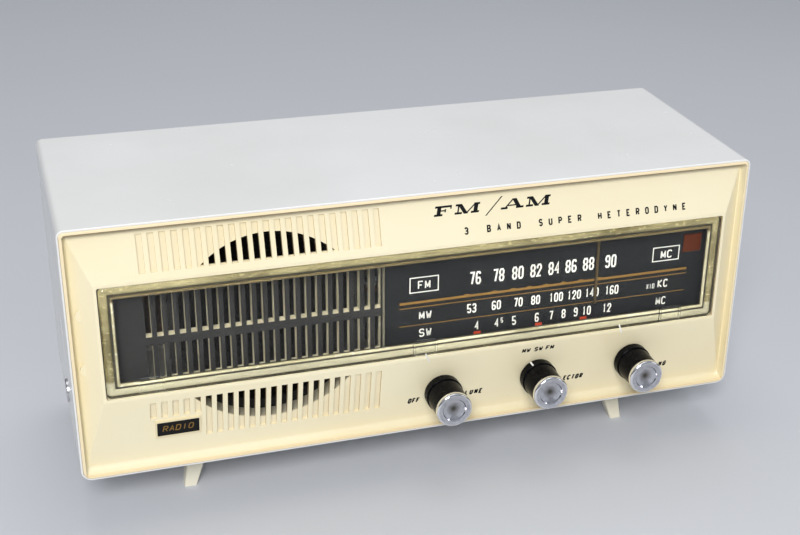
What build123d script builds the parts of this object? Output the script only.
from build123d import *

import math
import os

# A low, wide three-band table radio, in millimetres, +Z up, front towards -Y.
# The origin is the middle of the bounding box at the feet's underside.
# Inside the model, a place is given as u (right of the cabinet's centre plane), depth (back from
# the plane of the front rim) and v (up from the cabinet's underside). FAR takes a cut well past
# the piece that it goes through.

os.makedirs("parts", exist_ok=True)

# ---------------------------------------------------------------- driving dimensions

BODY_W = 350.0
BODY_H = 132.3
BODY_D = 128.0
FOOT_H = 26.5
JACK_PROUD = 1.2
KNOB_REACH = 23.3

WALL = 2.5
BACK_WALL = 5.0
REBATE_INSET = 0.9
REBATE_DEPTH = 7.2
FLANGE_BACK = 7.0

RIM_INSET = 1.0
RIM_INNER = 2.6
COVE_START = {"sides": 2.4, "top": 2.6, "bottom": 2.0}
COVE_END = {"sides": 3.2, "top": 2.8, "bottom": 5.2}
COVE_STEPS = 5
RECESS = 5.0
CROWN = -3.0
PANEL_T = 2.3
SKIRT_T = 2.0
SKIRT_DEPTH = 14.0

WINDOW_W = 320.0
WINDOW_H = 58.7
WINDOW_V = 74.25
WINDOW_BORDER = 1.5
COLLAR_T = 1.8
LEDGE_FRONT = 5.0
LEDGE_W = 1.6
PLATE_FRONT = 6.6

SLOT_COUNT = 22
SLOT_PITCH = 5.36
SLOT_W = 3.0
SLOT_U = -82.4
GROOVE_DEPTH = 1.4
SPEAKER_U = -79.7
SPEAKER_V = 70.1
SPEAKER_HOLE_R = 50.0
SPEAKER_BOLT = 41.0

SHAFT_R = 3.0
RUNNING_GAP = 0.05
KNOB_R = 9.3
COLLAR_R = 9.8
KNOB_L = 20.5
VOLUME_AT = (7.4, 23.0)
SELECTOR_AT = (60.2, 23.4)
TUNING_AT = (114.2, 24.4)

DRUM_AT = (72.0, 64.0)
DRUM_R = 26.0
IDLER_R = 4.65
LEFT_IDLER_AT = (-10.0, 99.5)
RIGHT_IDLER_AT = (132.0, 99.5)
DRIVE_R = 3.15
CORD_W = 0.7
CORD_GAP = 0.3
CORD_PLANE = 17.0
WHEEL_HALF = 2.0
SMALL_FLANGE = 1.3
DRUM_FLANGE = 1.2

POINTER_U = 93.8
RAIL_V = 95.0
RAIL_DEPTH = 12.0
RAIL_R = 1.25
RAIL_PROUD = 1.5

DECK_V = 45.0
STEEL_T = 1.2
APRON_FRONT = 22.0
CHASSIS_BACK = 112.0
CHASSIS_LEFT = -20.0
CHASSIS_RIGHT = 166.0

FAR = 60.0

MID_X = JACK_PROUD / 2
RIM_Y = (KNOB_REACH - BODY_D) / 2
COVER_FRONT = 125.0


# ---------------------------------------------------------------- places and shared outlines

def point(u, depth, v):
    """The place u right, depth back and v up, in the part's own frame."""
    return (MID_X + u, RIM_Y + depth, FOOT_H + v)


def face(depth, u=0.0, v=0.0):
    """A plane that looks out of the front; an extrusion by +t comes forward."""
    return Plane(origin=point(u, depth, v), x_dir=(1, 0, 0), z_dir=(0, -1, 0))


def deck(v, u=0.0, depth=0.0):
    """A level plane; its local y runs towards the back."""
    return Plane(origin=point(u, depth, v), x_dir=(1, 0, 0), z_dir=(0, 0, 1))


def side(u, depth=0.0, v=0.0):
    """A plane that looks to the right; its local x runs back and its local y up."""
    return Plane(origin=point(u, depth, v), x_dir=(0, 1, 0), z_dir=(1, 0, 0))


def turning(u, v, depth=0.0):
    """A level plane through an axis that runs front to back; local y is depth."""
    return deck(v, u, depth)


def front_axis(u, v):
    return Axis(point(u, 0, v), (0, 1, 0))


def save(builder, name):
    """Labels a finished piece and writes it as the node of that name."""
    builder.part.label = name
    export_step(builder.part, f"parts/{name}.step")


def box(left, right, front, back, low, high, mode=Mode.ADD):
    """Adds or cuts a block given by its limits in u, depth and v."""
    with Locations(point((left + right) / 2, (front + back) / 2, (low + high) / 2)):
        Box(right - left, back - front, high - low, mode=mode)


def rod(u, v, front, back, radius, mode=Mode.ADD):
    """Adds or cuts a round bar that runs front to back."""
    with BuildSketch(face(back, u, v), mode=Mode.PRIVATE) as section:
        Circle(radius)
    extrude(section.sketch, amount=back - front, mode=mode)


def post(u, depth, low, high, radius, mode=Mode.ADD):
    """Adds or cuts an upright round bar."""
    with BuildSketch(deck(low, u, depth), mode=Mode.PRIVATE) as section:
        Circle(radius)
    extrude(section.sketch, amount=high - low, mode=mode)


def outline(depth, inset, top_r, bottom_r):
    """The cabinet's front outline, moved in by inset, with its own top and bottom corners."""
    with BuildSketch(face(depth, v=BODY_H / 2), mode=Mode.PRIVATE) as shape:
        Rectangle(BODY_W - 2 * inset, BODY_H - 2 * inset)
        fillet(shape.vertices().group_by(Axis.Y)[-1], top_r)
        fillet(shape.vertices().group_by(Axis.Y)[0], bottom_r)
    return shape.sketch


def window_outline(depth, grow, corner_r):
    """The window's rectangle, grown by grow on every side."""
    with BuildSketch(face(depth, v=WINDOW_V), mode=Mode.PRIVATE) as shape:
        RectangleRounded(WINDOW_W + 2 * grow, WINDOW_H + 2 * grow, corner_r)
    return shape.sketch


def facet(low_v, low_depth, high_v, high_depth):
    """The plane of the panel's upper or lower facet, looking out of the front."""
    rise = high_v - low_v
    run = high_depth - low_depth
    middle = point(0, (low_depth + high_depth) / 2, (low_v + high_v) / 2)
    return Plane(origin=middle, x_dir=(1, 0, 0), z_dir=(0, -rise, run))


def slot_row(plane, low, high, first=0, count=SLOT_COUNT):
    """A row of slots on a plane, from low to high in the plane's local y."""
    start = SLOT_U + (first - (SLOT_COUNT - 1) / 2) * SLOT_PITCH
    middle = start + (count - 1) / 2 * SLOT_PITCH
    with BuildSketch(plane, mode=Mode.PRIVATE) as row:
        with Locations((middle, (low + high) / 2)):
            with GridLocations(SLOT_PITCH, 1, count, 1):
                Rectangle(SLOT_W, high - low)
    return row.sketch


# ---------------------------------------------------------------- cabinet shell

SHELL_FRONT = 0.5
SHELL_CORNERS = (3.5, 5.5)
CAVITY_CORNERS = (2.0, 3.5)
REBATE_CORNERS = (2.6, 4.6)
BACK_CORNERS = (2.0, 2.0)
BACK_ROUND = 3.2
FRONT_ROUND = 0.5
BACK_FRAME = 12.0
COVER_INSET = 5.0
JACK_AT = (45.0, 27.0)
JACK_THREAD_R = 4.0
FOOT_PEG_R = 2.5
FRONT_FEET = ((-113.5, 30.0), (113.5, 30.0))
REAR_FEET = ((-113.5, 104.0), (113.5, 104.0))
CHASSIS_BOLTS = ((-10.0, 28.0), (156.0, 28.0), (-10.0, 106.0), (156.0, 106.0))
BOLT_CLEAR_R = 1.7
BOLT_R = 1.5
COVER_SCREW_R = 1.4
COVER_SCREW_V = 8.8
COVER_SCREWS = [(u, v) for v in (COVER_SCREW_V, BODY_H - COVER_SCREW_V) for u in (-150.0, 0.0, 150.0)]

with BuildPart() as cabinet_shell:
    extrude(outline(BODY_D, 0, *SHELL_CORNERS), amount=BODY_D - SHELL_FRONT)
    back_rim = cabinet_shell.faces().sort_by(Axis.Y)[-1].edges()
    fillet(back_rim, BACK_ROUND)
    front_rim = cabinet_shell.faces().sort_by(Axis.Y)[0].edges()
    fillet(front_rim, FRONT_ROUND)
    extrude(outline(BODY_D - BACK_WALL, WALL, *CAVITY_CORNERS), amount=BODY_D, mode=Mode.SUBTRACT)
    extrude(outline(REBATE_DEPTH, REBATE_INSET, *REBATE_CORNERS), amount=REBATE_DEPTH, mode=Mode.SUBTRACT)
    extrude(outline(BODY_D, BACK_FRAME, *BACK_CORNERS), amount=BACK_WALL, mode=Mode.SUBTRACT)
    extrude(outline(BODY_D, COVER_INSET, *BACK_CORNERS), amount=BODY_D - COVER_FRONT, mode=Mode.SUBTRACT)
    with BuildSketch(side(-BODY_W / 2 - 1, *JACK_AT)):
        Circle(JACK_THREAD_R)
    extrude(amount=WALL + 2, mode=Mode.SUBTRACT)
    for u, depth in FRONT_FEET + REAR_FEET:
        post(u, depth, 0, WALL, FOOT_PEG_R, mode=Mode.SUBTRACT)
    for u, depth in CHASSIS_BOLTS:
        post(u, depth, 0, WALL, BOLT_CLEAR_R, mode=Mode.SUBTRACT)
    for u, v in COVER_SCREWS:
        rod(u, v, BODY_D - BACK_WALL, COVER_FRONT, COVER_SCREW_R, mode=Mode.SUBTRACT)
save(cabinet_shell, "cabinet_shell")

# ---------------------------------------------------------------- front panel

CROWN_TOP = WINDOW_V + WINDOW_H / 2 + WINDOW_BORDER
CROWN_BOTTOM = WINDOW_V - WINDOW_H / 2 - WINDOW_BORDER
BASE_TOP = BODY_H - COVE_END["top"]
BASE_BOTTOM = COVE_END["bottom"]
UPPER_FACET = facet(CROWN_TOP, CROWN, BASE_TOP, RECESS)
LOWER_FACET = facet(BASE_BOTTOM, RECESS, CROWN_BOTTOM, CROWN)
UPPER_MID = (CROWN_TOP + BASE_TOP) / 2
LOWER_MID = (CROWN_BOTTOM + BASE_BOTTOM) / 2
UPPER_STRETCH = math.hypot(BASE_TOP - CROWN_TOP, RECESS - CROWN) / (BASE_TOP - CROWN_TOP)
LOWER_STRETCH = math.hypot(CROWN_BOTTOM - BASE_BOTTOM, RECESS - CROWN) / (CROWN_BOTTOM - BASE_BOTTOM)
PANEL_CORNERS = (2.4, 4.5)
PANEL_ROUND = 0.7
SKIRT_CORNERS = (2.0, 3.5)
SKIRT_HOLLOW_CORNERS = (1.0, 1.0)
RECESS_CORNER_R = 1.2
CROWN_CORNER_R = 0.6
WINDOW_CORNER_R = 1.0
COLLAR_CORNER_R = 1.5
OPEN_SLOT_BACK = 6.0
UPPER_SLOTS = (108.2, 125.7)
LOWER_SLOTS = (15.0, 39.6)
SHORT_SLOTS = 5
SHORT_SLOT_LOW = 29.6
PANEL_HOLE_R = 4.5
BOSS_R = 3.6
SCREW_R = 1.3
SPEAKER_BOSSES = [(SPEAKER_U + i, SPEAKER_V + j) for i in (-SPEAKER_BOLT, SPEAKER_BOLT)
                  for j in (-SPEAKER_BOLT, SPEAKER_BOLT)]
BRACKET_SCREWS = ((-10.0, 38.2), (150.0, 38.2), (-10.0, 109.2), (150.0, 109.2))
GRILLE_SCREWS = ((-166.5, 60.0), (-166.5, 88.5))
BOSS_SINK = 1.3
SPEAKER_HOLE_FRONT = 4.0
SCREW_HOLE_FRONT = 3.0
SIDE_BOSS_FRONT = 1.8
SPEAKER_SEAT = 13.0
BRACKET_FRONT = 7.4


def on_upper(v):
    """Height v as the upper facet's local y."""
    return (v - UPPER_MID) * UPPER_STRETCH


def on_lower(v):
    """Height v as the lower facet's local y."""
    return (v - LOWER_MID) * LOWER_STRETCH


def boss_front(v):
    """The depth at which a boss starts, inside the upper or lower facet at height v."""
    if v > WINDOW_V:
        rise = (v - CROWN_TOP) / (BASE_TOP - CROWN_TOP)
    else:
        rise = (CROWN_BOTTOM - v) / (CROWN_BOTTOM - BASE_BOTTOM)
    return CROWN + rise * (RECESS - CROWN) + BOSS_SINK


def recess_outline(depth, turn):
    """The recess's outline where its coved wall has turned by turn, from 0 at the rim to 1 at the floor."""
    inset = {}
    for edge, start in COVE_START.items():
        inset[edge] = start + (COVE_END[edge] - start) * (1 - math.cos(turn * math.pi / 2))
    middle = (BODY_H - inset["top"] + inset["bottom"]) / 2
    with BuildSketch(face(depth, v=middle), mode=Mode.PRIVATE) as shape:
        height = BODY_H - inset["top"] - inset["bottom"]
        RectangleRounded(BODY_W - 2 * inset["sides"], height, RECESS_CORNER_R)
    return shape.sketch


def crown(back):
    """The raised centre: from the recess floor up to the window's border, moved back by back."""
    base = recess_outline(RECESS + back, 1)
    top = window_outline(CROWN + back, WINDOW_BORDER, CROWN_CORNER_R)
    return loft([base, top], ruled=True, mode=Mode.PRIVATE)


def coved_recess():
    """The space in front of the facets, inside the rim."""
    turns = [step / COVE_STEPS for step in range(COVE_STEPS + 1)]
    sections = [recess_outline(RECESS * math.sin(turn * math.pi / 2), turn) for turn in turns]
    return loft(sections, ruled=True, mode=Mode.PRIVATE)


recess = coved_recess()
raised_centre = crown(0)
hollow_centre = crown(PANEL_T)

with BuildPart() as front_panel:
    extrude(outline(FLANGE_BACK, RIM_INSET, *PANEL_CORNERS), amount=FLANGE_BACK)
    fillet(front_panel.faces().sort_by(Axis.Y)[0].edges(), PANEL_ROUND)
    add(recess, mode=Mode.SUBTRACT)
    add(raised_centre)
    add(hollow_centre, mode=Mode.SUBTRACT)
    extrude(outline(SKIRT_DEPTH, RIM_INNER, *SKIRT_CORNERS), amount=SKIRT_DEPTH - FLANGE_BACK)
    inner_skirt = outline(SKIRT_DEPTH, RIM_INNER + SKIRT_T, *SKIRT_HOLLOW_CORNERS)
    extrude(inner_skirt, amount=SKIRT_DEPTH - FLANGE_BACK, mode=Mode.SUBTRACT)
    extrude(window_outline(PLATE_FRONT, COLLAR_T, COLLAR_CORNER_R), amount=PLATE_FRONT - CROWN - PANEL_T / 2)
    extrude(window_outline(PLATE_FRONT, -LEDGE_W, COLLAR_CORNER_R), amount=FAR, mode=Mode.SUBTRACT)
    extrude(window_outline(LEDGE_FRONT, 0, WINDOW_CORNER_R), amount=FAR, mode=Mode.SUBTRACT)
    for u, v in SPEAKER_BOSSES:
        rod(u, v, boss_front(v), SPEAKER_SEAT, BOSS_R)
    for u, v in BRACKET_SCREWS:
        rod(u, v, boss_front(v), BRACKET_FRONT, BOSS_R)
    for u, v in GRILLE_SCREWS:
        rod(u, v, SIDE_BOSS_FRONT, BRACKET_FRONT, BOSS_R)
    extrude(slot_row(UPPER_FACET, on_upper(UPPER_SLOTS[0]), on_upper(UPPER_SLOTS[1])),
            amount=-GROOVE_DEPTH, mode=Mode.SUBTRACT)
    extrude(slot_row(LOWER_FACET, on_lower(LOWER_SLOTS[0]), on_lower(LOWER_SLOTS[1]),
                     SHORT_SLOTS, SLOT_COUNT - SHORT_SLOTS), amount=-GROOVE_DEPTH, mode=Mode.SUBTRACT)
    extrude(slot_row(LOWER_FACET, on_lower(SHORT_SLOT_LOW), on_lower(LOWER_SLOTS[1]), 0, SHORT_SLOTS),
            amount=-GROOVE_DEPTH, mode=Mode.SUBTRACT)
    with BuildSketch(face(OPEN_SLOT_BACK), mode=Mode.PRIVATE) as open_slots:
        add(slot_row(Plane.XY, *UPPER_SLOTS))
        add(slot_row(Plane.XY, *LOWER_SLOTS))
        with Locations((SPEAKER_U, SPEAKER_V)):
            Circle(SPEAKER_HOLE_R, mode=Mode.INTERSECT)
    extrude(open_slots.sketch, amount=FAR, mode=Mode.SUBTRACT)
    for u, v in (VOLUME_AT, SELECTOR_AT, TUNING_AT):
        rod(u, v, -FAR, PLATE_FRONT, PANEL_HOLE_R, mode=Mode.SUBTRACT)
    for u, v in SPEAKER_BOSSES:
        rod(u, v, SPEAKER_HOLE_FRONT, FAR, SCREW_R, mode=Mode.SUBTRACT)
    for u, v in BRACKET_SCREWS + GRILLE_SCREWS:
        rod(u, v, SCREW_HOLE_FRONT, FAR, SCREW_R, mode=Mode.SUBTRACT)
save(front_panel, "front_panel")

# ---------------------------------------------------------------- badge, lens and what lies behind it

BADGE_W = 22.2
BADGE_H = 10.3
BADGE_AT = (-127.1, 23.05)
BADGE_T = 1.0
BADGE_RIM = 0.8
BADGE_SINK = 0.4

with BuildPart() as badge_plate:
    with BuildSketch(LOWER_FACET) as badge_blank:
        with Locations((BADGE_AT[0], on_lower(BADGE_AT[1]))):
            Rectangle(BADGE_W, BADGE_H)
    extrude(amount=BADGE_T)
    with BuildSketch(LOWER_FACET.offset(BADGE_T)) as badge_field:
        with Locations((BADGE_AT[0], on_lower(BADGE_AT[1]))):
            Rectangle(BADGE_W - 2 * BADGE_RIM, BADGE_H - 2 * BADGE_RIM)
    extrude(amount=-BADGE_SINK, mode=Mode.SUBTRACT)
save(badge_plate, "badge_plate")

LENS_GAP = 0.35
LENS_FRONT = -3.8
LENS_T = 2.4
LENS_WALL = 3.0
LENS_BEVEL = 2.0
LENS_CORNER_R = 2.6
LENS_TAB = (12.5, 2.2)
LENS_TAB_BACK = 3.0
LENS_HOLLOW_R = 1.2
LENS_TAB_PITCH = 136.5
LENS_TAB_SHIFT = -2.0

with BuildPart() as dial_lens:
    extrude(window_outline(LEDGE_FRONT, -LENS_GAP, LENS_CORNER_R), amount=LEDGE_FRONT - LENS_FRONT)
    chamfer(dial_lens.faces().sort_by(Axis.Y)[0].edges(), LENS_BEVEL)
    lens_hollow = window_outline(LEDGE_FRONT, -LENS_GAP - LENS_WALL, LENS_HOLLOW_R)
    extrude(lens_hollow, amount=LEDGE_FRONT - LENS_FRONT - LENS_T, mode=Mode.SUBTRACT)
    tab_floor = WINDOW_V - WINDOW_H / 2 + LENS_GAP + LENS_WALL
    for step in (-1, 0, 1):
        centre = LENS_TAB_SHIFT + step * LENS_TAB_PITCH
        box(centre - LENS_TAB[0] / 2, centre + LENS_TAB[0] / 2, LENS_FRONT + LENS_T, LENS_TAB_BACK,
            tab_floor, tab_floor + LENS_TAB[1])
save(dial_lens, "dial_lens")

PLATE_LEFT = -158.6
GRILLE_FLANGE = -170.0
PLATE_LOW = 45.6
PLATE_HIGH = 97.4
GRILLE_HIGH = 102.9
DIVIDER_U = -21.6
DIVIDER_W = 0.9
DIVIDER_LOW = WINDOW_V - WINDOW_H / 2 + LEDGE_W + 0.1
DIVIDER_EDGE = 0.3
FACE_T = 0.6
GRILLE_T = 4.0
DIAL_T = 0.8
GRILLE_ROWS = ((47.0, 66.4), (70.8, 93.8))
GRILLE_SHIFT = 1.6
JEWEL_AT = (148.6, 85.9)
JEWEL_W = 10.4
JEWEL_GAP = 0.05
JEWEL_PROUD = 0.4
JEWEL_EDGE = 0.35
JEWEL_FLANGE = 1.2
BRACKET_WINDOW = 7.2


def grille_slots(depth):
    """Both rows of the window grille's slots."""
    plane = face(depth, GRILLE_SHIFT)
    return [slot_row(plane, low, high) for low, high in GRILLE_ROWS]


with BuildPart() as grille_face:
    box(PLATE_LEFT, DIVIDER_U - DIVIDER_W / 2, PLATE_FRONT, PLATE_FRONT + FACE_T, PLATE_LOW, GRILLE_HIGH)
    for row in grille_slots(PLATE_FRONT + FACE_T):
        extrude(row, amount=FACE_T, mode=Mode.SUBTRACT)
save(grille_face, "grille_face")

GRILLE_BACK = PLATE_FRONT + FACE_T + GRILLE_T
with BuildPart() as speaker_grille:
    box(GRILLE_FLANGE, DIVIDER_U - DIVIDER_W / 2, BRACKET_FRONT, GRILLE_BACK, PLATE_LOW, GRILLE_HIGH)
    box(PLATE_LEFT, DIVIDER_U - DIVIDER_W / 2, PLATE_FRONT + FACE_T, BRACKET_FRONT, PLATE_LOW, GRILLE_HIGH)
    for row in grille_slots(GRILLE_BACK):
        extrude(row, amount=GRILLE_T, mode=Mode.SUBTRACT)
    for u, v in GRILLE_SCREWS:
        rod(u, v, BRACKET_FRONT - 1, GRILLE_BACK, SCREW_R, mode=Mode.SUBTRACT)
save(speaker_grille, "speaker_grille")

with BuildPart() as window_divider:
    left = DIVIDER_U - DIVIDER_W / 2
    right = DIVIDER_U + DIVIDER_W / 2
    box(left, right, LEDGE_FRONT + DIVIDER_EDGE, GRILLE_BACK, DIVIDER_LOW, PLATE_HIGH)
    fillet(window_divider.faces().sort_by(Axis.Y)[0].edges().filter_by(Axis.Z), DIVIDER_EDGE)
save(window_divider, "window_divider")

with BuildPart() as dial_plate:
    box(DIVIDER_U + DIVIDER_W / 2, -PLATE_LEFT, PLATE_FRONT, PLATE_FRONT + DIAL_T, PLATE_LOW, PLATE_HIGH)
    box(JEWEL_AT[0] - JEWEL_W / 2, JEWEL_AT[0] + JEWEL_W / 2, 0, FAR,
        JEWEL_AT[1] - JEWEL_W / 2, JEWEL_AT[1] + JEWEL_W / 2, mode=Mode.SUBTRACT)
save(dial_plate, "dial_plate")

with BuildPart() as pilot_jewel:
    half = JEWEL_W / 2 - JEWEL_GAP
    wide = half + JEWEL_FLANGE
    jewel_back = BRACKET_FRONT + JEWEL_FLANGE
    box(JEWEL_AT[0] - half, JEWEL_AT[0] + half, PLATE_FRONT - JEWEL_PROUD, jewel_back,
        JEWEL_AT[1] - half, JEWEL_AT[1] + half)
    chamfer(pilot_jewel.faces().sort_by(Axis.Y)[0].edges(), JEWEL_EDGE)
    box(JEWEL_AT[0] - wide, JEWEL_AT[0] + wide, BRACKET_FRONT, jewel_back,
        JEWEL_AT[1] - wide, JEWEL_AT[1] + wide)
save(pilot_jewel, "pilot_jewel")

BRACKET_T = 1.0
BRACKET_LEFT = -20.0
BRACKET_RIGHT = 158.0
EAR_LEFT = -18.5
EAR_RIGHT = 140.5
IDLER_PIN_R = 1.5
BRACKET_LOW = 34.0
BRACKET_HIGH = 113.5
BRACKET_CORNER_R = 4.0
ARM_SLOT = (12.0, 116.0, PLATE_HIGH + 0.6, 101.6)
EAR_HALF = 3.0

with BuildPart() as dial_bracket:
    back = BRACKET_FRONT + BRACKET_T
    box(BRACKET_LEFT, BRACKET_RIGHT, BRACKET_FRONT, back, BRACKET_LOW, BRACKET_HIGH)
    box(ARM_SLOT[0], ARM_SLOT[1], 0, FAR, ARM_SLOT[2], ARM_SLOT[3], mode=Mode.SUBTRACT)
    box(JEWEL_AT[0] - BRACKET_WINDOW, JEWEL_AT[0] + BRACKET_WINDOW, 0, FAR,
        JEWEL_AT[1] - BRACKET_WINDOW, JEWEL_AT[1] + BRACKET_WINDOW, mode=Mode.SUBTRACT)
    for u in (EAR_LEFT, EAR_RIGHT):
        box(u, u + BRACKET_T, back, RAIL_DEPTH + EAR_HALF, RAIL_V - EAR_HALF, RAIL_V + EAR_HALF)
        with BuildSketch(side(u, RAIL_DEPTH, RAIL_V), mode=Mode.PRIVATE) as rail_hole:
            Circle(RAIL_R)
        extrude(rail_hole.sketch, amount=BRACKET_T, mode=Mode.SUBTRACT)
    for u, v in (LEFT_IDLER_AT, RIGHT_IDLER_AT):
        rod(u, v, BRACKET_FRONT, back, IDLER_PIN_R, mode=Mode.SUBTRACT)
    for u, v in BRACKET_SCREWS:
        rod(u, v, 0, FAR, SCREW_R, mode=Mode.SUBTRACT)
    across = dial_bracket.edges().filter_by(Axis.Y).group_by(Axis.Z)
    fillet(across[0] + across[-1], BRACKET_CORNER_R)
save(dial_bracket, "dial_bracket")


SCREW_SOCKET = 0.45
SOCKET_DEPTH = 0.9
SPEAKER_RING_T = 1.5


def pan_screws(places, seat, shank, head_r=2.8, head_t=1.8, shank_r=SCREW_R):
    """Pan-head screws driven in from behind, with their heads seated at depth seat."""
    for u, v in places:
        rod(u, v, seat, seat + head_t, head_r)
        rod(u, v, seat + head_t - SOCKET_DEPTH, seat + head_t, head_r * SCREW_SOCKET, mode=Mode.SUBTRACT)
        rod(u, v, seat - shank, seat, shank_r)


with BuildPart() as panel_screws:
    pan_screws(BRACKET_SCREWS, BRACKET_FRONT + BRACKET_T, 4.5)
    pan_screws(GRILLE_SCREWS, GRILLE_BACK, 6.0)
    pan_screws(SPEAKER_BOSSES, SPEAKER_SEAT + SPEAKER_RING_T, 8.0)
save(panel_screws, "panel_screws")

# ---------------------------------------------------------------- pointer, rail, dial cord and its wheels

with BuildPart() as pointer_rail:
    with BuildSketch(side(EAR_LEFT - RAIL_PROUD, RAIL_DEPTH, RAIL_V)):
        Circle(RAIL_R)
    extrude(amount=EAR_RIGHT - EAR_LEFT + BRACKET_T + 2 * RAIL_PROUD)
save(pointer_rail, "pointer_rail")

ARM_LOW = 98.6
ARM_HIGH = 99.8
POINTER_FRONT = 5.3
POINTER_W = 1.3
POINTER_T = 0.7
POINTER_LOW = 57.8
ARM_HALF = 1.2
CARRIAGE_HALF = 5.0
CARRIAGE_T = 5.0
CLAMP_HALF = 3.0
CLAMP_DEPTH = (13.0, 16.2)
CLAMP_HIGH = 105.6

with BuildPart() as pointer_carriage:
    box(POINTER_U - CARRIAGE_HALF, POINTER_U + CARRIAGE_HALF, RAIL_DEPTH - CARRIAGE_T / 2,
        RAIL_DEPTH + CARRIAGE_T / 2, RAIL_V - CARRIAGE_T / 2, ARM_HIGH)
    box(POINTER_U - CLAMP_HALF, POINTER_U + CLAMP_HALF, *CLAMP_DEPTH, ARM_HIGH, CLAMP_HIGH)
    with BuildSketch(side(POINTER_U - CARRIAGE_HALF, RAIL_DEPTH, RAIL_V), mode=Mode.PRIVATE) as rail_bore:
        Circle(RAIL_R + RUNNING_GAP)
    extrude(rail_bore.sketch, amount=2 * CARRIAGE_HALF, mode=Mode.SUBTRACT)
save(pointer_carriage, "pointer_carriage")

with BuildPart() as dial_pointer:
    box(POINTER_U - ARM_HALF, POINTER_U + ARM_HALF, POINTER_FRONT, RAIL_DEPTH - CARRIAGE_T / 2,
        ARM_LOW, ARM_HIGH)
    box(POINTER_U - POINTER_W / 2, POINTER_U + POINTER_W / 2, POINTER_FRONT, POINTER_FRONT + POINTER_T,
        POINTER_LOW, ARM_HIGH)
save(dial_pointer, "dial_pointer")

PIN_HOLD = WHEEL_HALF + 0.4
PIN_HEAD_T = 0.8
PIN_COLLAR_R = 2.6


def grooved_wheel(at, cord_r, flange, half_width):
    """A disc in the cord's plane with a groove that the cord lies in, clear of both flanges."""
    groove_r = cord_r - CORD_GAP - CORD_W / 2
    rod(*at, CORD_PLANE - half_width, CORD_PLANE + half_width, cord_r + flange)
    with BuildSketch(turning(*at, CORD_PLANE), mode=Mode.PRIVATE) as groove:
        with Locations((groove_r + flange, 0)):
            Rectangle(2 * flange, CORD_W + 2 * CORD_GAP)
    revolve(groove.sketch, axis=front_axis(*at), mode=Mode.SUBTRACT)


for name, at in (("left_idler", LEFT_IDLER_AT), ("right_idler", RIGHT_IDLER_AT)):
    with BuildPart() as idler:
        grooved_wheel(at, IDLER_R, SMALL_FLANGE, WHEEL_HALF)
        rod(*at, 0, FAR, IDLER_PIN_R + RUNNING_GAP, mode=Mode.SUBTRACT)
    save(idler, name)

with BuildPart() as idler_pins:
    for at in (LEFT_IDLER_AT, RIGHT_IDLER_AT):
        rod(*at, BRACKET_FRONT, CORD_PLANE + PIN_HOLD, IDLER_PIN_R)
        rod(*at, CORD_PLANE + PIN_HOLD, CORD_PLANE + PIN_HOLD + PIN_HEAD_T, PIN_COLLAR_R)
        rod(*at, BRACKET_FRONT + BRACKET_T, CORD_PLANE - PIN_HOLD, PIN_COLLAR_R)
save(idler_pins, "idler_pins")


def cord_loop(grow):
    """What a taut string round the four wheels encloses, grown by grow."""
    with BuildSketch(face(CORD_PLANE + CORD_W / 2), mode=Mode.PRIVATE) as loop:
        with BuildLine():
            for at, radius in ((LEFT_IDLER_AT, IDLER_R), (RIGHT_IDLER_AT, IDLER_R),
                               (TUNING_AT, DRIVE_R), (DRUM_AT, DRUM_R)):
                CenterArc(at, radius + grow, 0, 360)
        make_hull()
    return loop.sketch


with BuildPart() as dial_cord:
    extrude(cord_loop(CORD_W / 2), amount=CORD_W)
    extrude(cord_loop(-CORD_W / 2), amount=CORD_W, mode=Mode.SUBTRACT)
save(dial_cord, "dial_cord")

ROTOR_R = 16.0
ROTOR_SHAFT_R = 3.0
GANG_FRONT = 25.0
GANG_BACK = 60.0
GANG_HALF = 20.0
GANG_T = 1.5
STATOR_HALF = 18.6
STATOR_LIFT = 1.2
STATOR_DROP = 5.0
STATOR_BAR = 1.4
PLATE_PITCH = 4.0
ROTOR_PLATES = 6
ROTOR_FIRST = 31.5
PLATE_T = 0.8
ROTOR_COLLAR = 1.2
DRUM_HUB_BACK = 22.0
DRUM_HUB_R = 6.0
DRUM_HOLE_CIRCLE = 15.0
DRUM_HOLE_R = 5.5

with BuildPart() as tuning_drum:
    grooved_wheel(DRUM_AT, DRUM_R, DRUM_FLANGE, WHEEL_HALF)
    rod(*DRUM_AT, CORD_PLANE - WHEEL_HALF, DRUM_HUB_BACK, DRUM_HUB_R)
    rod(*DRUM_AT, 0, FAR, ROTOR_SHAFT_R, mode=Mode.SUBTRACT)
    with BuildSketch(face(CORD_PLANE + WHEEL_HALF, *DRUM_AT), mode=Mode.PRIVATE) as openings:
        with PolarLocations(DRUM_HOLE_CIRCLE, 3, start_angle=30):
            Circle(DRUM_HOLE_R)
    extrude(openings.sketch, amount=2 * WHEEL_HALF, mode=Mode.SUBTRACT)
save(tuning_drum, "tuning_drum")

with BuildPart() as capacitor_rotor:
    rod(*DRUM_AT, CORD_PLANE - WHEEL_HALF - 1, GANG_BACK + 2, ROTOR_SHAFT_R)
    for index in range(ROTOR_PLATES):
        with BuildSketch(face(ROTOR_FIRST + index * PLATE_PITCH, *DRUM_AT), mode=Mode.PRIVATE) as half_disc:
            Circle(ROTOR_R)
            with Locations((0, -ROTOR_R)):
                Rectangle(4 * ROTOR_R, 2 * ROTOR_R, mode=Mode.SUBTRACT)
            Circle(ROTOR_SHAFT_R + ROTOR_COLLAR)
        extrude(half_disc.sketch, amount=PLATE_T)
save(capacitor_rotor, "capacitor_rotor")

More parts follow.
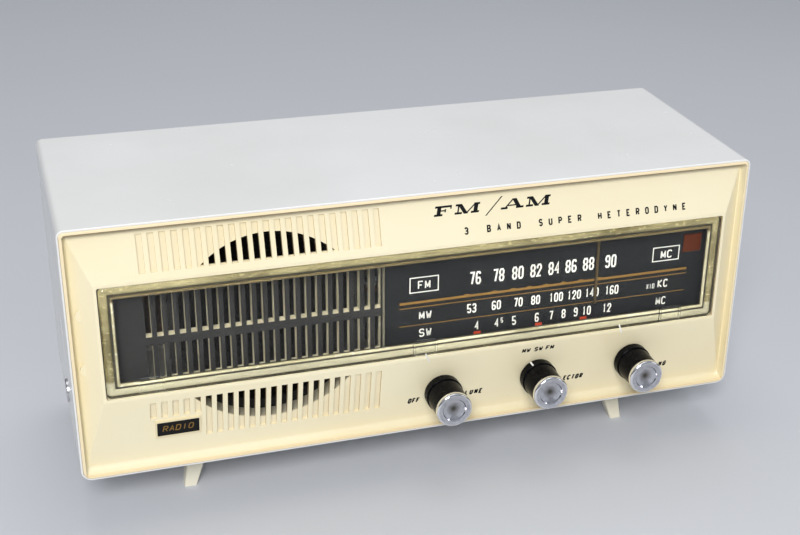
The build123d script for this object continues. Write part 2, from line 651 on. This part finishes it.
with BuildPart() as tuning_capacitor:
    left = DRUM_AT[0] - GANG_HALF
    right = DRUM_AT[0] + GANG_HALF
    top = DRUM_AT[1] + GANG_HALF - 1
    low = DECK_V + GANG_T
    box(left, right, GANG_FRONT, GANG_BACK, DECK_V, low)
    box(left, right, GANG_FRONT, GANG_FRONT + GANG_T, DECK_V, top)
    box(left, right, GANG_BACK - GANG_T, GANG_BACK, DECK_V, top)
    rod(*DRUM_AT, 0, GANG_BACK, ROTOR_SHAFT_R + RUNNING_GAP, mode=Mode.SUBTRACT)
    for index in range(ROTOR_PLATES - 1):
        front = ROTOR_FIRST + (index + 0.5) * PLATE_PITCH - PLATE_T
        box(DRUM_AT[0] - STATOR_HALF, DRUM_AT[0] + STATOR_HALF, front, front + PLATE_T,
            low + STATOR_LIFT, DRUM_AT[1] - STATOR_DROP)
    for sign in (-1, 1):
        bar = DRUM_AT[0] + sign * (STATOR_HALF - STATOR_BAR / 2)
        box(bar - STATOR_BAR / 2, bar + STATOR_BAR / 2, ROTOR_FIRST,
            ROTOR_FIRST + (ROTOR_PLATES - 1) * PLATE_PITCH, low, DRUM_AT[1] - STATOR_DROP - 1)
save(tuning_capacitor, "tuning_capacitor")

# ---------------------------------------------------------------- controls

APRON_BACK = APRON_FRONT + STEEL_T
BUSH_R = 4.75
TUNING_END = 31.0
CONTROL_END = 35.0
LUG_PITCH = 4.6
LUG_W = 2.2
LUG_PROUD = 4.5
BORE_END = CONTROL_END + 0.5
VOLUME_CASE_R = 12.0
VOLUME_CASE_BACK = 43.0
SWITCH_CASE_R = 11.0
SWITCH_CASE_BACK = 50.0
WAFER_FRONT = 38.0
WAFER_W = 28.0
WAFER_H = 26.0
WAFER_T = 1.5
BUSH_BACK = 28.0
BUSH_HEAD_R = 6.5
CAP_SEAT = 3.0
SHAFT_SEAT = 4.0
NUT_T = 2.2
NUT_HALF = 7.0


def knob(at, back_face):
    """A plain black knob: a wider collar at the panel, a groove, and a slightly tapered grip."""
    cap_seat = -KNOB_L + CAP_SEAT
    with BuildSketch(turning(*at, back_face), mode=Mode.PRIVATE) as profile:
        with BuildLine():
            Polyline((SHAFT_R, 0), (COLLAR_R - 0.4, 0), (COLLAR_R, -0.5), (COLLAR_R, -4.6),
                     (COLLAR_R - 0.4, -5.0), (KNOB_R - 0.35, -5.0), (KNOB_R - 0.35, -5.6),
                     (KNOB_R, -5.9), (KNOB_R - 0.3, cap_seat), (SHAFT_R, cap_seat), (SHAFT_R, 0))
        make_face()
    revolve(profile.sketch, axis=front_axis(*at))
    rod(*at, back_face + cap_seat, back_face - KNOB_L + SHAFT_SEAT, SHAFT_R)


def knob_cap(at, back_face):
    """The bright disc on a knob's end: a rounded ring round a shallow dished cone."""
    front = -KNOB_L
    seat = front + CAP_SEAT
    with BuildSketch(turning(*at, back_face), mode=Mode.PRIVATE) as profile:
        with BuildLine():
            Line((0, seat), (KNOB_R - 0.3, seat))
            Line((KNOB_R - 0.3, seat), (KNOB_R, front + 1.4))
            ThreePointArc((KNOB_R, front + 1.4), (KNOB_R - 0.9, front + 0.25), (KNOB_R - 2.2, front))
            Line((KNOB_R - 2.2, front), (KNOB_R - 3.4, front + 0.6))
            Line((KNOB_R - 3.4, front + 0.6), (0, front + 2.0))
            Line((0, front + 2.0), (0, seat))
        make_face()
    revolve(profile.sketch, axis=front_axis(*at))


CONTROLS = (
    ("volume", VOLUME_AT, KNOB_L - KNOB_REACH, CONTROL_END),
    ("selector", SELECTOR_AT, -1.6, CONTROL_END),
    ("tuning", TUNING_AT, -1.4, TUNING_END),
)
for name, at, back_face, end in CONTROLS:
    with BuildPart() as spindle:
        rod(*at, back_face - KNOB_L + SHAFT_SEAT, end, SHAFT_R)
        if name == "tuning":
            grooved_wheel(at, DRIVE_R, SMALL_FLANGE, WHEEL_HALF)
    save(spindle, f"{name}_shaft")
    with BuildPart() as grip:
        knob(at, back_face)
    save(grip, f"{name}_knob")
    with BuildPart() as cap:
        knob_cap(at, back_face)
    save(cap, f"{name}_knob_cap")


def control_body(at, radius, back, lugs):
    """A control's housing behind the apron, its threaded bush and its solder lugs."""
    rod(*at, APRON_FRONT - 3.4, APRON_BACK, BUSH_R)
    rod(*at, APRON_BACK, back, radius)
    for step in range(lugs):
        left = at[0] + (step - (lugs - 1) / 2) * LUG_PITCH - LUG_W / 2
        box(left, left + LUG_W, back - 4.0, back - 3.2, at[1] - radius - LUG_PROUD, at[1] - radius * 0.6)
    rod(*at, 0, BORE_END, SHAFT_R + RUNNING_GAP, mode=Mode.SUBTRACT)


with BuildPart() as volume_control:
    control_body(VOLUME_AT, VOLUME_CASE_R, VOLUME_CASE_BACK, 3)
save(volume_control, "volume_control")

with BuildPart() as selector_switch:
    control_body(SELECTOR_AT, SWITCH_CASE_R, SWITCH_CASE_BACK, 4)
    box(SELECTOR_AT[0] - WAFER_W / 2, SELECTOR_AT[0] + WAFER_W / 2, WAFER_FRONT, WAFER_FRONT + WAFER_T,
        SELECTOR_AT[1] - WAFER_H / 2, SELECTOR_AT[1] + WAFER_H / 2)
save(selector_switch, "selector_switch")

with BuildPart() as tuning_bush:
    rod(*TUNING_AT, APRON_FRONT - 2.6, APRON_BACK, BUSH_R)
    rod(*TUNING_AT, APRON_BACK, BUSH_BACK, BUSH_HEAD_R)
    rod(*TUNING_AT, 0, FAR, SHAFT_R + RUNNING_GAP, mode=Mode.SUBTRACT)
save(tuning_bush, "tuning_bush")

with BuildPart() as control_nuts:
    for at in (VOLUME_AT, SELECTOR_AT, TUNING_AT):
        with BuildSketch(face(APRON_FRONT, *at), mode=Mode.PRIVATE) as nut:
            RegularPolygon(NUT_HALF, 6, major_radius=False)
            Circle(BUSH_R, mode=Mode.SUBTRACT)
        extrude(nut.sketch, amount=NUT_T)
save(control_nuts, "control_nuts")

# ---------------------------------------------------------------- chassis and what stands on it

TUBE_DEPTH = 88.0
TUBES = ((-5.0, 42.0), (22.0, 42.0), (49.0, 38.0), (76.0, 48.0), (103.0, 46.0))
SOCKET_R = 11.0
TUBE_R = 9.6
IF_CANS = ((5.0, 45.0), (35.0, 45.0), (112.0, 38.0))
CAN_W = 20.0
CAN_H = 38.0
CAN_ROUND = 1.5
SLUG_R = 3.0
SLUG_DEPTH = 6.0
FILTER_AT = (111.0, 63.5)
FILTER_R = 12.0
FILTER_H = 46.0
LIP = 12.0
SOCKET_TOP = DECK_V + 2.0
SOCKET_LOW = DECK_V - 7.0
PIN_RING_R = 3.0

with BuildPart() as chassis:
    box(CHASSIS_LEFT, CHASSIS_RIGHT, APRON_FRONT, CHASSIS_BACK, DECK_V - STEEL_T, DECK_V)
    box(CHASSIS_LEFT, CHASSIS_RIGHT, APRON_FRONT, APRON_BACK, WALL, DECK_V)
    box(CHASSIS_LEFT, CHASSIS_RIGHT, CHASSIS_BACK - STEEL_T, CHASSIS_BACK, WALL, DECK_V)
    box(CHASSIS_LEFT, CHASSIS_RIGHT, APRON_FRONT, APRON_FRONT + LIP, WALL, WALL + STEEL_T)
    box(CHASSIS_LEFT, CHASSIS_RIGHT, CHASSIS_BACK - LIP, CHASSIS_BACK, WALL, WALL + STEEL_T)
    for u, depth in CHASSIS_BOLTS:
        post(u, depth, WALL, WALL + STEEL_T, BOLT_R, mode=Mode.SUBTRACT)
    for at in (VOLUME_AT, SELECTOR_AT, TUNING_AT):
        rod(*at, 0, APRON_BACK, BUSH_R, mode=Mode.SUBTRACT)
    for u, _ in TUBES:
        post(u, TUBE_DEPTH, DECK_V - STEEL_T, DECK_V, SOCKET_R, mode=Mode.SUBTRACT)
save(chassis, "chassis")

with BuildPart() as tube_sockets:
    for u, _ in TUBES:
        post(u, TUBE_DEPTH, SOCKET_LOW, SOCKET_TOP, SOCKET_R)
        post(u, TUBE_DEPTH, DECK_V - 5, SOCKET_TOP, PIN_RING_R, mode=Mode.SUBTRACT)
save(tube_sockets, "tube_sockets")

with BuildPart() as tubes:
    for u, height in TUBES:
        with BuildSketch(side(u, TUBE_DEPTH, SOCKET_TOP), mode=Mode.PRIVATE) as bulb:
            with BuildLine():
                Line((0, 0), (TUBE_R - 1, 0))
                Line((TUBE_R - 1, 0), (TUBE_R, 2))
                Line((TUBE_R, 2), (TUBE_R, height - 8))
                ThreePointArc((TUBE_R, height - 8), (TUBE_R * 0.72, height - 2.6), (2.0, height))
                Line((2.0, height), (1.4, height + 3.5))
                Line((1.4, height + 3.5), (0, height + 4))
                Line((0, height + 4), (0, 0))
            make_face()
        revolve(bulb.sketch, axis=Axis(point(u, TUBE_DEPTH, 0), (0, 0, 1)))
save(tubes, "tubes")

with BuildPart() as if_cans:
    for u, depth in IF_CANS:
        half = CAN_W / 2
        box(u - half, u + half, depth - half, depth + half, DECK_V, DECK_V + CAN_H)
    fillet(if_cans.edges().filter_by(Axis.Z), CAN_ROUND)
    for u, depth in IF_CANS:
        post(u, depth, DECK_V + CAN_H - SLUG_DEPTH, DECK_V + CAN_H, SLUG_R, mode=Mode.SUBTRACT)
save(if_cans, "if_cans")

with BuildPart() as filter_capacitor:
    post(*FILTER_AT, DECK_V, DECK_V + FILTER_H, FILTER_R)
    fillet(filter_capacitor.faces().sort_by(Axis.Z)[-1].edges(), CAN_ROUND)
save(filter_capacitor, "filter_capacitor")

CORE_FOOT = 4.0
CORE_FOOT_T = 1.5


def transformer(u, depth, width, thickness, height):
    """A laminated core on its foot, with the winding standing out at both sides of the core."""
    core = thickness * 0.5
    box(u - width / 2, u + width / 2, depth - core / 2, depth + core / 2, DECK_V, DECK_V + height)
    box(u - width * 0.3, u + width * 0.3, depth - thickness / 2, depth + thickness / 2,
        DECK_V + height * 0.2, DECK_V + height * 0.8)
    foot_half = width / 2 + CORE_FOOT
    box(u - foot_half, u + foot_half, depth - core / 2, depth + core / 2, DECK_V, DECK_V + CORE_FOOT_T)


with BuildPart() as power_transformer:
    transformer(143.0, 88.0, 36.0, 38.0, 42.0)
save(power_transformer, "power_transformer")

with BuildPart() as output_transformer:
    transformer(146.0, 44.0, 26.0, 26.0, 24.0)
save(output_transformer, "output_transformer")

BOARD_TOP = 25.6
BOARD_T = 1.6
BOARD_U = (0.0, 150.0)
BOARD_DEPTH = (56.0, 96.0)
STANDOFF_DEPTH = (60.0, 74.0)
STANDOFF_INSET = 4.0
RESISTOR_R = 1.6
RESISTOR_DEPTH = (62.0, 72.0)
CAPACITOR_R = 3.2
CAPACITOR_DEPTH = (76.0, 92.0)
PART_SINK = 0.2

with BuildPart() as component_board:
    box(*BOARD_U, *BOARD_DEPTH, BOARD_TOP - BOARD_T, BOARD_TOP)
    for u in (BOARD_U[0] + STANDOFF_INSET, BOARD_U[1] - STANDOFF_INSET):
        box(u - 1, u + 1, *STANDOFF_DEPTH, BOARD_TOP, DECK_V - STEEL_T)
    for index in range(9):
        rod(15 + index * 15, BOARD_TOP + RESISTOR_R - PART_SINK, *RESISTOR_DEPTH, RESISTOR_R)
    for index in range(6):
        rod(20 + index * 22, BOARD_TOP + CAPACITOR_R - PART_SINK, *CAPACITOR_DEPTH, CAPACITOR_R)
save(component_board, "component_board")

# ---------------------------------------------------------------- pilot lamp

LAMP_FRONT = 11.0
LAMP_BACK = 24.0
SOCKET_BACK = 38.0
LAMP_SOCKET_R = 5.5
STRAP_W = 8.0
STRAP_T = 1.0
STRAP_DROP = 10.5
STRAP_FOOT = 9.0

with BuildPart() as pilot_lamp:
    with BuildSketch(turning(*JEWEL_AT, LAMP_FRONT)):
        with BuildLine():
            ThreePointArc((0, 0), (3.2, 1.4), (4.5, 4.5))
            Line((4.5, 4.5), (3.6, LAMP_BACK - LAMP_FRONT))
            Line((3.6, LAMP_BACK - LAMP_FRONT), (0, LAMP_BACK - LAMP_FRONT))
            Line((0, LAMP_BACK - LAMP_FRONT), (0, 0))
        make_face()
    revolve(axis=front_axis(*JEWEL_AT))
save(pilot_lamp, "pilot_lamp")

with BuildPart() as lamp_holder:
    left = JEWEL_AT[0] - STRAP_W / 2
    right = JEWEL_AT[0] + STRAP_W / 2
    front = BRACKET_FRONT + BRACKET_T
    low = JEWEL_AT[1] - STRAP_DROP
    rod(*JEWEL_AT, LAMP_BACK, SOCKET_BACK, LAMP_SOCKET_R)
    box(left, right, front, SOCKET_BACK, low, low + STRAP_T)
    box(left, right, front, front + STRAP_T, low - STRAP_FOOT, low + STRAP_T)
    box(left, right, SOCKET_BACK - STRAP_T, SOCKET_BACK, low, JEWEL_AT[1] - LAMP_SOCKET_R / 2)
save(lamp_holder, "lamp_holder")

# ---------------------------------------------------------------- loudspeaker

SPEAKER_AT = (SPEAKER_U, SPEAKER_V)
GASKET_T = 1.2
GASKET_R = 50.0
BASKET_R = 45.0
BASKET_T = 1.2
BASKET_NECK = 24.0
BASKET_SHELF = 10.0
FRAME_W = 94.0
FRAME_CORNER_R = 9.0
WINDOW_CIRCLE = 34.0
CONE_R = 43.0
DOME_EDGE = (12.0, 16.5)
DOME_RISE = 2.9
DOME_R = (DOME_EDGE[0] ** 2 + DOME_RISE ** 2) / (2 * DOME_RISE)
DOME_MIDDLE = (6.0, DOME_EDGE[1] - DOME_RISE + DOME_R - math.sqrt(DOME_R ** 2 - 36.0))
DOME_TOP = (0, DOME_EDGE[1] - DOME_RISE)
BASKET_BACK = 38.0
YOKE_R = 21.0
YOKE_BACK = BASKET_BACK + 3
MAGNET_R = 16.0
MAGNET_BACK = BASKET_BACK + 18

with BuildPart() as speaker_gasket:
    rod(*SPEAKER_AT, SPEAKER_SEAT - GASKET_T, SPEAKER_SEAT, GASKET_R)
    rod(*SPEAKER_AT, 0, FAR, BASKET_R, mode=Mode.SUBTRACT)
save(speaker_gasket, "speaker_gasket")

with BuildPart() as speaker_frame:
    ring_back = SPEAKER_SEAT + SPEAKER_RING_T
    with BuildSketch(face(ring_back, *SPEAKER_AT)):
        RectangleRounded(FRAME_W, FRAME_W, FRAME_CORNER_R)
        Circle(BASKET_R, mode=Mode.SUBTRACT)
    extrude(amount=SPEAKER_RING_T)
    shelf = BASKET_BACK - ring_back
    inside = shelf - BASKET_T
    with BuildSketch(turning(*SPEAKER_AT, ring_back)):
        with BuildLine():
            Polyline((BASKET_R + BASKET_T, -0.5), (BASKET_R + BASKET_T, 2), (BASKET_NECK, shelf),
                     (BASKET_SHELF, shelf), (BASKET_SHELF, inside), (BASKET_NECK - 0.7, inside),
                     (BASKET_R, 1.5), (BASKET_R, -0.5), (BASKET_R + BASKET_T, -0.5))
        make_face()
    revolve(axis=front_axis(*SPEAKER_AT))
    with BuildSketch(face(BASKET_BACK - 2 * BASKET_T, *SPEAKER_AT), mode=Mode.PRIVATE) as basket_windows:
        with PolarLocations(WINDOW_CIRCLE, 6, start_angle=30):
            RectangleRounded(12, 20, 4)
    extrude(basket_windows.sketch, amount=shelf - 2 * BASKET_T - 1, mode=Mode.SUBTRACT)
    for u, v in SPEAKER_BOSSES:
        rod(u, v, 0, ring_back, SCREW_R, mode=Mode.SUBTRACT)
save(speaker_frame, "speaker_frame")

with BuildPart() as speaker_cone:
    with BuildSketch(turning(*SPEAKER_AT, SPEAKER_SEAT + 1.2)):
        with BuildLine():
            Line((CONE_R + 1.8, 0), (CONE_R, -0.6))
            Line((CONE_R, -0.6), (CONE_R - 2.5, 0.6))
            ThreePointArc((CONE_R - 2.5, 0.6), (26.0, 8.0), DOME_EDGE)
            ThreePointArc(DOME_EDGE, DOME_MIDDLE, DOME_TOP)
            Line(DOME_TOP, (0, 17.4))
            Line((0, 17.4), (12.0, 17.4))
            ThreePointArc((12.0, 17.4), (26.2, 9.0), (CONE_R - 2.2, 1.6))
            Line((CONE_R - 2.2, 1.6), (CONE_R + 1.8, 0.9))
            Line((CONE_R + 1.8, 0.9), (CONE_R + 1.8, 0))
        make_face()
    revolve(axis=front_axis(*SPEAKER_AT))
save(speaker_cone, "speaker_cone")

with BuildPart() as speaker_magnet:
    rod(*SPEAKER_AT, BASKET_BACK, YOKE_BACK, YOKE_R)
    rod(*SPEAKER_AT, YOKE_BACK, MAGNET_BACK, MAGNET_R)
    fillet(speaker_magnet.faces().sort_by(Axis.Y)[-1].edges(), 2)
save(speaker_magnet, "speaker_magnet")

# ---------------------------------------------------------------- back, antennas, jack and feet

COVER_T = 1.8
TERMINAL_AT = (128.0, 102.0)
CORD_AT = (138.0, 22.0)
VENT_ROWS = (47.0, 70.0, 93.0)
VENT_GROUPS = ((-80.0, 15), (40.0, 12))
VENT_PITCH = 8.0
VENT_L = 18.0
VENT_W = 3.2
COVER_GAP = 0.3
TERMINAL_PITCH = 14.0
TERMINAL_W = 36.0
TERMINAL_H = 16.0
TERMINAL_T = 6.0
TERMINAL_SCREW_R = 1.5
TERMINAL_SCREW_END = COVER_FRONT - 5.0
TERMINAL_HEAD_R = 3.2
TERMINAL_HEAD_T = 2.2
ROD_R = 5.0
ROD_AT = (112.0, 112.0)
ROD_ENDS = (-20.0, 100.0)
CLIPS = (-5.0, 80.0)
CLIP_HALF_W = 3.0
CLIP_HALF = 7.5
WINDINGS = ((10.0, 26.0), (50.0, 14.0))
WINDING_R = 6.8
GROMMET_R = 4.8
GROMMET_FLANGE_R = 6.2
GROMMET_LIP = 1.4
CORD_R = 3.2

with BuildPart() as rear_cover:
    extrude(outline(COVER_FRONT + COVER_T, COVER_INSET + COVER_GAP, *BACK_CORNERS), amount=COVER_T)
    with BuildSketch(face(BODY_D), mode=Mode.PRIVATE) as vents:
        for v in VENT_ROWS:
            for u, count in VENT_GROUPS:
                with Locations((u, v)):
                    with GridLocations(VENT_PITCH, 1, count, 1):
                        SlotOverall(VENT_L, VENT_W, rotation=90)
    extrude(vents.sketch, amount=FAR, mode=Mode.SUBTRACT)
    for u, v in COVER_SCREWS:
        rod(u, v, COVER_FRONT, BODY_D, BOLT_CLEAR_R, mode=Mode.SUBTRACT)
    box(TERMINAL_AT[0] - 14, TERMINAL_AT[0] + 14, COVER_FRONT, BODY_D,
        TERMINAL_AT[1] - 5, TERMINAL_AT[1] + 5, mode=Mode.SUBTRACT)
    rod(*CORD_AT, COVER_FRONT, BODY_D, GROMMET_R, mode=Mode.SUBTRACT)
save(rear_cover, "rear_cover")

with BuildPart() as cover_screws:
    pan_screws(COVER_SCREWS, COVER_FRONT + COVER_T, 3.8, head_r=3.0, head_t=1.2, shank_r=COVER_SCREW_R)
save(cover_screws, "cover_screws")

TERMINAL_PLACES = [TERMINAL_AT[0] + step * TERMINAL_PITCH / 2 for step in (-1, 1)]

with BuildPart() as antenna_terminals:
    box(TERMINAL_AT[0] - TERMINAL_W / 2, TERMINAL_AT[0] + TERMINAL_W / 2,
        COVER_FRONT - TERMINAL_T, COVER_FRONT,
        TERMINAL_AT[1] - TERMINAL_H / 2, TERMINAL_AT[1] + TERMINAL_H / 2)
    for u in TERMINAL_PLACES:
        rod(u, TERMINAL_AT[1], TERMINAL_SCREW_END, COVER_FRONT, TERMINAL_SCREW_R, mode=Mode.SUBTRACT)
save(antenna_terminals, "antenna_terminals")

with BuildPart() as terminal_screws:
    head_back = COVER_FRONT + TERMINAL_HEAD_T
    for u in TERMINAL_PLACES:
        rod(u, TERMINAL_AT[1], TERMINAL_SCREW_END, COVER_FRONT, TERMINAL_SCREW_R)
        rod(u, TERMINAL_AT[1], COVER_FRONT, head_back, TERMINAL_HEAD_R)
        box(u - 2.6, u + 2.6, head_back - 0.7, head_back,
            TERMINAL_AT[1] - 0.4, TERMINAL_AT[1] + 0.4, mode=Mode.SUBTRACT)
save(terminal_screws, "terminal_screws")

with BuildPart() as ferrite_antenna:
    with BuildSketch(side(ROD_ENDS[0], *ROD_AT)):
        Circle(ROD_R)
    extrude(amount=ROD_ENDS[1] - ROD_ENDS[0])
    for start, length in WINDINGS:
        with BuildSketch(side(start, *ROD_AT), mode=Mode.PRIVATE) as winding:
            Circle(WINDING_R)
        extrude(winding.sketch, amount=length)
save(ferrite_antenna, "ferrite_antenna")

with BuildPart() as antenna_clips:
    for u in CLIPS:
        box(u - CLIP_HALF_W, u + CLIP_HALF_W, ROD_AT[0] - CLIP_HALF, COVER_FRONT,
            ROD_AT[1] - CLIP_HALF, ROD_AT[1] + CLIP_HALF)
        with BuildSketch(side(u - CLIP_HALF_W, *ROD_AT), mode=Mode.PRIVATE) as rod_hole:
            Circle(ROD_R)
        extrude(rod_hole.sketch, amount=2 * CLIP_HALF_W, mode=Mode.SUBTRACT)
save(antenna_clips, "antenna_clips")

with BuildPart() as cord_grommet:
    rod(*CORD_AT, COVER_FRONT, COVER_FRONT + COVER_T, GROMMET_R)
    rod(*CORD_AT, COVER_FRONT + COVER_T, BODY_D, GROMMET_FLANGE_R)
    rod(*CORD_AT, COVER_FRONT - GROMMET_LIP, COVER_FRONT, GROMMET_FLANGE_R)
    rod(*CORD_AT, 0, BODY_D, CORD_R, mode=Mode.SUBTRACT)
save(cord_grommet, "cord_grommet")

JACK_R = 6.0
JACK_L = 14.0
PLUG_R = 1.8

with BuildPart() as earphone_jack:
    with BuildSketch(side(-BODY_W / 2 - JACK_PROUD, *JACK_AT)):
        Circle(JACK_THREAD_R)
    extrude(amount=JACK_PROUD + WALL)
    with BuildSketch(side(-BODY_W / 2 + WALL, *JACK_AT)):
        Circle(JACK_R)
    extrude(amount=JACK_L)
    with BuildSketch(side(-BODY_W / 2 - JACK_PROUD, *JACK_AT)):
        Circle(PLUG_R)
    extrude(amount=JACK_L, mode=Mode.SUBTRACT)
save(earphone_jack, "earphone_jack")

with BuildPart() as jack_nut:
    with BuildSketch(side(-BODY_W / 2 - JACK_PROUD, *JACK_AT)):
        Circle(JACK_R)
        Circle(JACK_THREAD_R, mode=Mode.SUBTRACT)
    extrude(amount=JACK_PROUD)
    chamfer(jack_nut.faces().sort_by(Axis.X)[0].edges().sort_by(SortBy.LENGTH)[-1], 0.4)
save(jack_nut, "jack_nut")

FOOT_TIP = (6.4, 6.4)
FOOT_TIP_R = 0.9
FOOT_TOP = (11.5, 13.0)
FOOT_TOP_R = 1.6
FOOT_SPLAY = 6.8
FOOT_RAKE = 4.5


def foot(u, depth, back):
    """A tapered leg that splays outwards and away from the middle, with a peg in the cabinet."""
    outward = math.copysign(FOOT_SPLAY, u)
    with BuildSketch(deck(-FOOT_H, u + outward, depth + back * FOOT_RAKE), mode=Mode.PRIVATE) as tip:
        RectangleRounded(*FOOT_TIP, FOOT_TIP_R)
    with BuildSketch(deck(0, u, depth), mode=Mode.PRIVATE) as top:
        RectangleRounded(*FOOT_TOP, FOOT_TOP_R)
    loft([tip.sketch, top.sketch], ruled=True)
    post(u, depth, 0, WALL, FOOT_PEG_R)


with BuildPart() as feet:
    for places, back in ((FRONT_FEET, -1), (REAR_FEET, 1)):
        for u, depth in places:
            foot(u, depth, back)
save(feet, "feet")

BOLT_HEAD_T = 1.8
BOLT_HEAD_R = 3.2
BOLT_END = WALL + STEEL_T + 2.5

with BuildPart() as chassis_bolts:
    for u, depth in CHASSIS_BOLTS:
        post(u, depth, -BOLT_HEAD_T, 0, BOLT_HEAD_R)
        post(u, depth, 0, BOLT_END, BOLT_R)
        post(u, depth, -BOLT_HEAD_T, -BOLT_HEAD_T + SOCKET_DEPTH, BOLT_HEAD_R * SCREW_SOCKET,
             mode=Mode.SUBTRACT)
save(chassis_bolts, "chassis_bolts")
